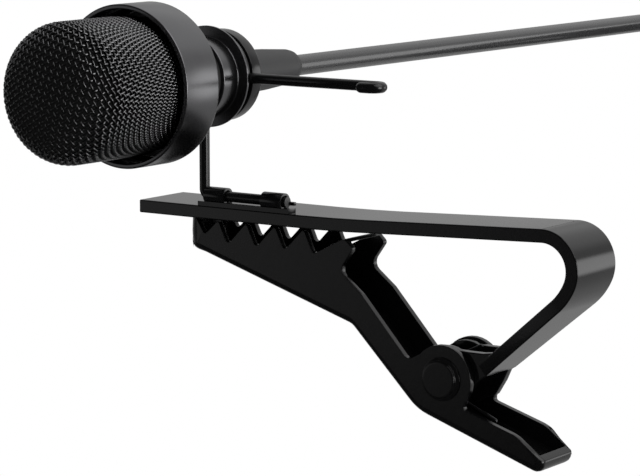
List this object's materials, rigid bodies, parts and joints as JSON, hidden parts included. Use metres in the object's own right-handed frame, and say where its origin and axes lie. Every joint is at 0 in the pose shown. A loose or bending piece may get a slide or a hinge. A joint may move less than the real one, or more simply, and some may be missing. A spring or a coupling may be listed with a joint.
{
  "type": "lavalier microphone",
  "caption": "Small clip-on microphone with a woven mesh dome, held by a bent spring wire on a toothed lapel clip, with a thin coiled cable ending in a slim plug.",
  "frame": {"origin": "middle of the tooth row on the underside of the spring strip, where the cloth is gripped", "axes": "+X along the clip from its open end to its bend, -Y the way the microphone faces, +Z from the teeth up to the microphone"},
  "size_m": [0.0392, 0.1061, 0.0602],
  "materials": {
    "strip_steel": "gloss black lacquer",
    "jaw_steel": "gloss black lacquer",
    "pin_steel": "gloss black",
    "spring_steel": "drawn steel wire",
    "bracket_steel": "gloss black lacquer",
    "wire_steel": "gloss black coating",
    "mesh_steel": "matte black woven mesh",
    "foam": "open-cell foam",
    "collar_metal": "satin dark anodised",
    "housing_metal": "satin dark anodised",
    "capsule_metal": "bare metal",
    "gasket_rubber": "matte",
    "board_laminate": "laminate",
    "seal_rubber": "matte",
    "barrel_metal": "satin dark anodised",
    "cap_metal": "satin dark anodised",
    "relief_rubber": "matte moulded",
    "ferrule_brass": "plain",
    "core_insulation": "extruded insulation",
    "cable_jacket": "matte extruded jacket",
    "tie_strap": "woven strap",
    "boot_rubber": "matte moulded",
    "handle_metal": "satin dark anodised",
    "contact_metal": "plated",
    "insulator_plastic": "plain"
  },
  "bodies": {
    "clip_body": {"spring_strip": "strip_steel", "pivot_pin": "pin_steel", "torsion_spring": "spring_steel", "wire_bracket": "bracket_steel"},
    "jaw": {"toothed_jaw": "jaw_steel"},
    "holder": {"wire_holder": "wire_steel", "cable_lead": "cable_jacket", "cable_coil": "cable_jacket", "cable_tie": "tie_strap", "plug_boot": "boot_rubber", "plug_handle": "handle_metal", "plug_sleeve": "contact_metal", "plug_ring": "contact_metal", "plug_tip": "contact_metal", "plug_insulators": "insulator_plastic"},
    "microphone": {"grille_dome": "mesh_steel", "foam_liner": "foam", "collar_ring": "collar_metal", "capsule_housing": "housing_metal", "capsule": "capsule_metal", "capsule_gasket": "gasket_rubber", "circuit_board": "board_laminate", "neck_seal": "seal_rubber", "neck_barrel": "barrel_metal", "rear_cap": "cap_metal", "strain_relief": "relief_rubber", "crimp_ferrule": "ferrule_brass", "inner_wires": "core_insulation", "cable_inner": "cable_jacket"}
  },
  "joints": [
    {"name": "jaw_open", "type": "hinge", "parent": "clip_body", "child": "jaw", "pos_m": [0.01552, 0, -0.01005], "axis": [0, -1, 0], "range_deg": [0, 45], "stiffness_Nm_per_rad": 0.05, "springref_deg": -28.65, "deforming": ["torsion_spring"]},
    {"name": "holder_swing", "type": "hinge", "parent": "clip_body", "child": "holder", "pos_m": [-0.002, -0.00219, 0.0018], "axis": [1, 0, 0], "range_deg": [-90, 90]},
    {"name": "microphone_turn", "type": "hinge", "parent": "holder", "child": "microphone", "pos_m": [-0.00528, -0.00219, 0.01091], "axis": [0, 1, 0], "range_deg": [-90, 90]}
  ]
}
